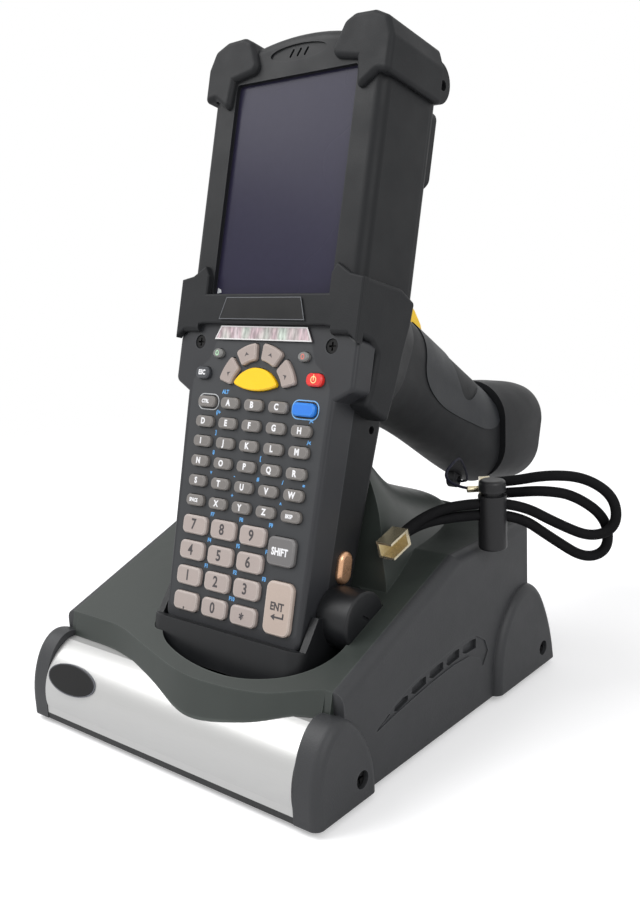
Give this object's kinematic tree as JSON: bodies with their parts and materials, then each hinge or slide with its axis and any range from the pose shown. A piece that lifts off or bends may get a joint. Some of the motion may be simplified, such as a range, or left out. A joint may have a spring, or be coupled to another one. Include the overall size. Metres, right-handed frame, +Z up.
{
  "type": "handheld data terminal in charging cradle",
  "caption": "Rugged handheld scanning terminal with screen, keypad and pistol handle, standing in a wedge-shaped charging cradle, with a corded wrist lanyard.",
  "frame": {"origin": "on the table, under the middle of the whole assembly's box", "axes": "+Z up, -Y towards the user's side with the bright bar and the keypad, +X to the user's right"},
  "size_m": [0.199, 0.2492, 0.2713],
  "materials": {
    "cradle_underside": "satin",
    "cradle_plastic": "fine satin",
    "satin_aluminium": "brushed",
    "cup_plastic": "satin",
    "connector": "satin",
    "circuit_board": "satin",
    "foot_rubber": "matt",
    "screw_steel": "satin",
    "housing": "fine satin",
    "boot_rubber": "satin",
    "screen_glass": "polished",
    "display": "smooth",
    "nameplate": "gloss with a silver edge",
    "clear_lens": "clear",
    "panel": "satin",
    "scan_glass": "dark red tint",
    "copper": "satin",
    "grip_rubber": "satin",
    "panel_rubber": "satin",
    "brass": "polished",
    "lock_plastic": "satin",
    "cord": "braided",
    "string": "twisted",
    "trigger_yellow": "satin",
    "cap_plastic": "satin",
    "letter_key": "satin",
    "number_key": "satin",
    "blue_key": "satin",
    "shift_key": "satin",
    "red_key": "satin",
    "yellow_key": "satin"
  },
  "bodies": {
    "cradle": {"cradle_base": "cradle_underside", "cradle_top_cover": "cradle_plastic", "cradle_side_left": "cradle_plastic", "cradle_side_right": "cradle_plastic", "front_bar": "satin_aluminium", "dock_cup": "cup_plastic", "dock_connector": "connector", "cradle_board": "circuit_board", "cradle_feet": "foot_rubber", "cradle_screws": "screw_steel", "power_inlet": "connector"},
    "terminal": {"front_housing": "housing", "rear_housing": "housing", "keypad_housing": "housing", "lower_boot": "boot_rubber", "top_bumpers": "boot_rubber", "display_window": "screen_glass", "display_module": "display", "main_board": "circuit_board", "nameplate": "nameplate", "indicator_lens": "clear_lens", "keypad_panel": "panel", "keypad_board": "circuit_board", "scan_engine": "housing", "scan_window": "scan_glass", "latch_studs": "copper", "base_connector": "connector", "housing_screws": "screw_steel", "handle_shell": "grip_rubber", "grip_panels": "panel_rubber", "trigger_pin": "screw_steel", "lanyard_fittings": "brass", "cord_lock_barrel": "lock_plastic", "lanyard_cord_outer": "cord", "lanyard_cord_inner": "cord", "lanyard_string": "string"},
    "trigger": {"trigger": "trigger_yellow", "trigger_spring": "screw_steel"},
    "battery_pack": {"battery_pack": "cap_plastic"},
    "cord_lock_plunger": {"cord_lock_plunger": "lock_plastic"},
    "scan_key": {"scan_key": "yellow_key"},
    "power_key": {"power_key": "red_key"},
    "function_key": {"function_key": "blue_key"},
    "shift_key": {"shift_key": "shift_key"},
    "enter_key": {"enter_key": "number_key"},
    "nav_key_left": {"nav_key_left": "number_key"},
    "nav_key_up": {"nav_key_up": "number_key"},
    "nav_key_down": {"nav_key_down": "number_key"},
    "nav_key_right": {"nav_key_right": "number_key"},
    "corner_keys": {"corner_keys": "letter_key"},
    "number_row_1": {"number_row_1": "number_key"},
    "number_row_2": {"number_row_2": "number_key"},
    "number_row_3": {"number_row_3": "number_key"},
    "number_row_4": {"number_row_4": "number_key"},
    "letter_row_1": {"letter_row_1": "letter_key"},
    "letter_row_2": {"letter_row_2": "letter_key"},
    "letter_row_3": {"letter_row_3": "letter_key"},
    "letter_row_4": {"letter_row_4": "letter_key"},
    "letter_row_5": {"letter_row_5": "letter_key"},
    "letter_row_6": {"letter_row_6": "letter_key"}
  },
  "joints": [
    {"name": "terminal_lift", "type": "slide", "parent": "cradle", "child": "terminal", "axis": [0, 0.2634, 0.9647], "range_m": [0, 0.06]},
    {"name": "trigger_pull", "type": "hinge", "parent": "terminal", "child": "trigger", "pos_m": [0.012, 0.00408, 0.16905], "axis": [-1, 0, 0], "range_deg": [0, 6], "stiffness_Nm_per_rad": 0.08, "springref_deg": -8.59},
    {"name": "battery_slide", "type": "slide", "parent": "terminal", "child": "battery_pack", "axis": [0, 0.868, -0.4965], "range_m": [0, 0.08]},
    {"name": "cord_lock_press", "type": "slide", "parent": "terminal", "child": "cord_lock_plunger", "axis": [0, 0, -1], "range_m": [0, 0.0015], "stiffness_N_per_m": 400, "springref_m": -0.002},
    {"name": "scan_key_press", "type": "slide", "parent": "terminal", "child": "scan_key", "axis": [0, 0.9647, -0.2634], "range_m": [0, 0.0008], "stiffness_N_per_m": 300, "springref_m": -0.001},
    {"name": "power_key_press", "type": "slide", "parent": "terminal", "child": "power_key", "axis": [0, 0.9647, -0.2634], "range_m": [0, 0.0008], "stiffness_N_per_m": 300, "springref_m": -0.001},
    {"name": "function_key_press", "type": "slide", "parent": "terminal", "child": "function_key", "axis": [0, 0.9647, -0.2634], "range_m": [0, 0.0008], "stiffness_N_per_m": 300, "springref_m": -0.001},
    {"name": "shift_key_press", "type": "slide", "parent": "terminal", "child": "shift_key", "axis": [0, 0.9647, -0.2634], "range_m": [0, 0.0008], "stiffness_N_per_m": 300, "springref_m": -0.001},
    {"name": "enter_key_press", "type": "slide", "parent": "terminal", "child": "enter_key", "axis": [0, 0.9647, -0.2634], "range_m": [0, 0.0008], "stiffness_N_per_m": 500, "springref_m": -0.001},
    {"name": "nav_key_left_press", "type": "slide", "parent": "terminal", "child": "nav_key_left", "axis": [0, 0.9647, -0.2634], "range_m": [0, 0.0008], "stiffness_N_per_m": 300, "springref_m": -0.001},
    {"name": "nav_key_up_press", "type": "slide", "parent": "terminal", "child": "nav_key_up", "axis": [0, 0.9647, -0.2634], "range_m": [0, 0.0008], "stiffness_N_per_m": 300, "springref_m": -0.001},
    {"name": "nav_key_down_press", "type": "slide", "parent": "terminal", "child": "nav_key_down", "axis": [0, 0.9647, -0.2634], "range_m": [0, 0.0008], "stiffness_N_per_m": 300, "springref_m": -0.001},
    {"name": "nav_key_right_press", "type": "slide", "parent": "terminal", "child": "nav_key_right", "axis": [0, 0.9647, -0.2634], "range_m": [0, 0.0008], "stiffness_N_per_m": 300, "springref_m": -0.001},
    {"name": "corner_keys_press", "type": "slide", "parent": "terminal", "child": "corner_keys", "axis": [0, 0.9647, -0.2634], "range_m": [0, 0.0008], "stiffness_N_per_m": 300, "springref_m": -0.001},
    {"name": "number_row_1_press", "type": "slide", "parent": "terminal", "child": "number_row_1", "axis": [0, 0.9647, -0.2634], "range_m": [0, 0.0008], "stiffness_N_per_m": 500, "springref_m": -0.001},
    {"name": "number_row_2_press", "type": "slide", "parent": "terminal", "child": "number_row_2", "axis": [0, 0.9647, -0.2634], "range_m": [0, 0.0008], "stiffness_N_per_m": 500, "springref_m": -0.001},
    {"name": "number_row_3_press", "type": "slide", "parent": "terminal", "child": "number_row_3", "axis": [0, 0.9647, -0.2634], "range_m": [0, 0.0008], "stiffness_N_per_m": 500, "springref_m": -0.001},
    {"name": "number_row_4_press", "type": "slide", "parent": "terminal", "child": "number_row_4", "axis": [0, 0.9647, -0.2634], "range_m": [0, 0.0008], "stiffness_N_per_m": 500, "springref_m": -0.001},
    {"name": "letter_row_1_press", "type": "slide", "parent": "terminal", "child": "letter_row_1", "axis": [0, 0.9647, -0.2634], "range_m": [0, 0.0008], "stiffness_N_per_m": 500, "springref_m": -0.001},
    {"name": "letter_row_2_press", "type": "slide", "parent": "terminal", "child": "letter_row_2", "axis": [0, 0.9647, -0.2634], "range_m": [0, 0.0008], "stiffness_N_per_m": 500, "springref_m": -0.001},
    {"name": "letter_row_3_press", "type": "slide", "parent": "terminal", "child": "letter_row_3", "axis": [0, 0.9647, -0.2634], "range_m": [0, 0.0008], "stiffness_N_per_m": 500, "springref_m": -0.001},
    {"name": "letter_row_4_press", "type": "slide", "parent": "terminal", "child": "letter_row_4", "axis": [0, 0.9647, -0.2634], "range_m": [0, 0.0008], "stiffness_N_per_m": 500, "springref_m": -0.001},
    {"name": "letter_row_5_press", "type": "slide", "parent": "terminal", "child": "letter_row_5", "axis": [0, 0.9647, -0.2634], "range_m": [0, 0.0008], "stiffness_N_per_m": 500, "springref_m": -0.001},
    {"name": "letter_row_6_press", "type": "slide", "parent": "terminal", "child": "letter_row_6", "axis": [0, 0.9647, -0.2634], "range_m": [0, 0.0008], "stiffness_N_per_m": 500, "springref_m": -0.001}
  ]
}
